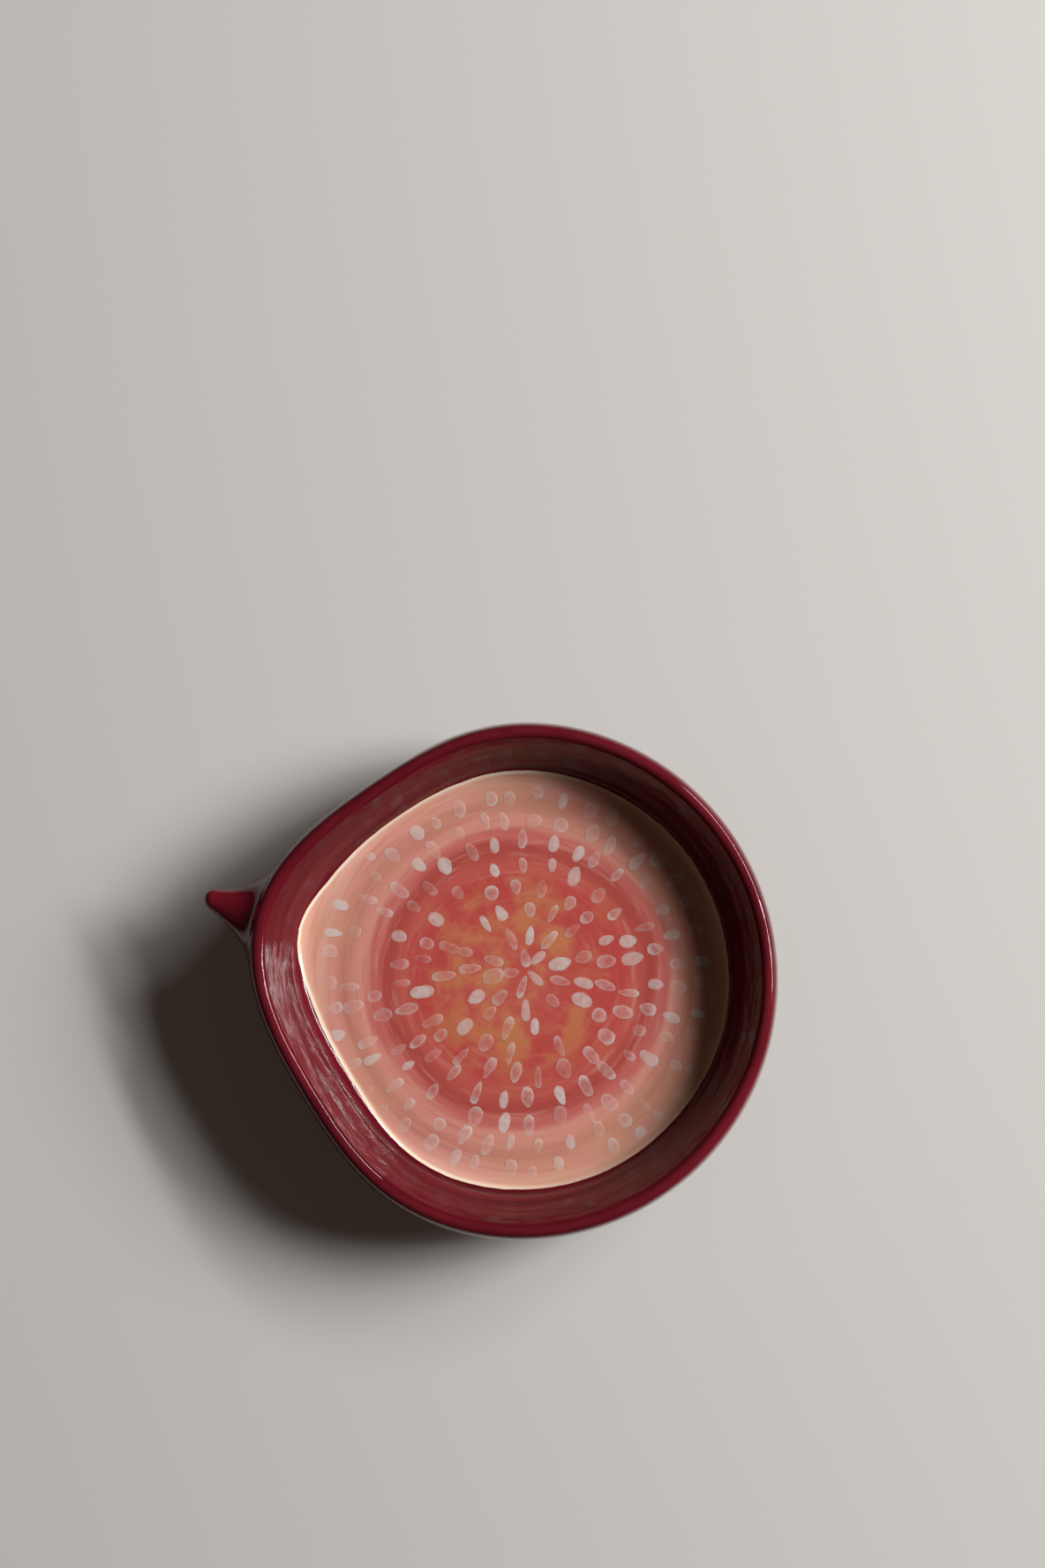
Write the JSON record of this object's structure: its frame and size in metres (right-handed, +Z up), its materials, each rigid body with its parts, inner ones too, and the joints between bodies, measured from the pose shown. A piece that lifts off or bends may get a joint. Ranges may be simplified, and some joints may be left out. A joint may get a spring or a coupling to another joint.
{
  "type": "ceramic trinket dish shaped as a halved fig",
  "caption": "Small shallow glazed dish shaped as a halved fig, with a stem nub at the rim and a seeded flesh pattern on its floor.",
  "frame": {"origin": "under the middle of the dish's box, stem included, on the plane that the foot ring stands on", "axes": "+Z up out of the bowl; +X away from the stem, which points along -X"},
  "size_m": [0.1328, 0.1178, 0.0275],
  "materials": {
    "burgundy_glaze": "gloss"
  },
  "bodies": {
    "root": {"fig_dish": "burgundy_glaze"}
  },
  "joints": []
}
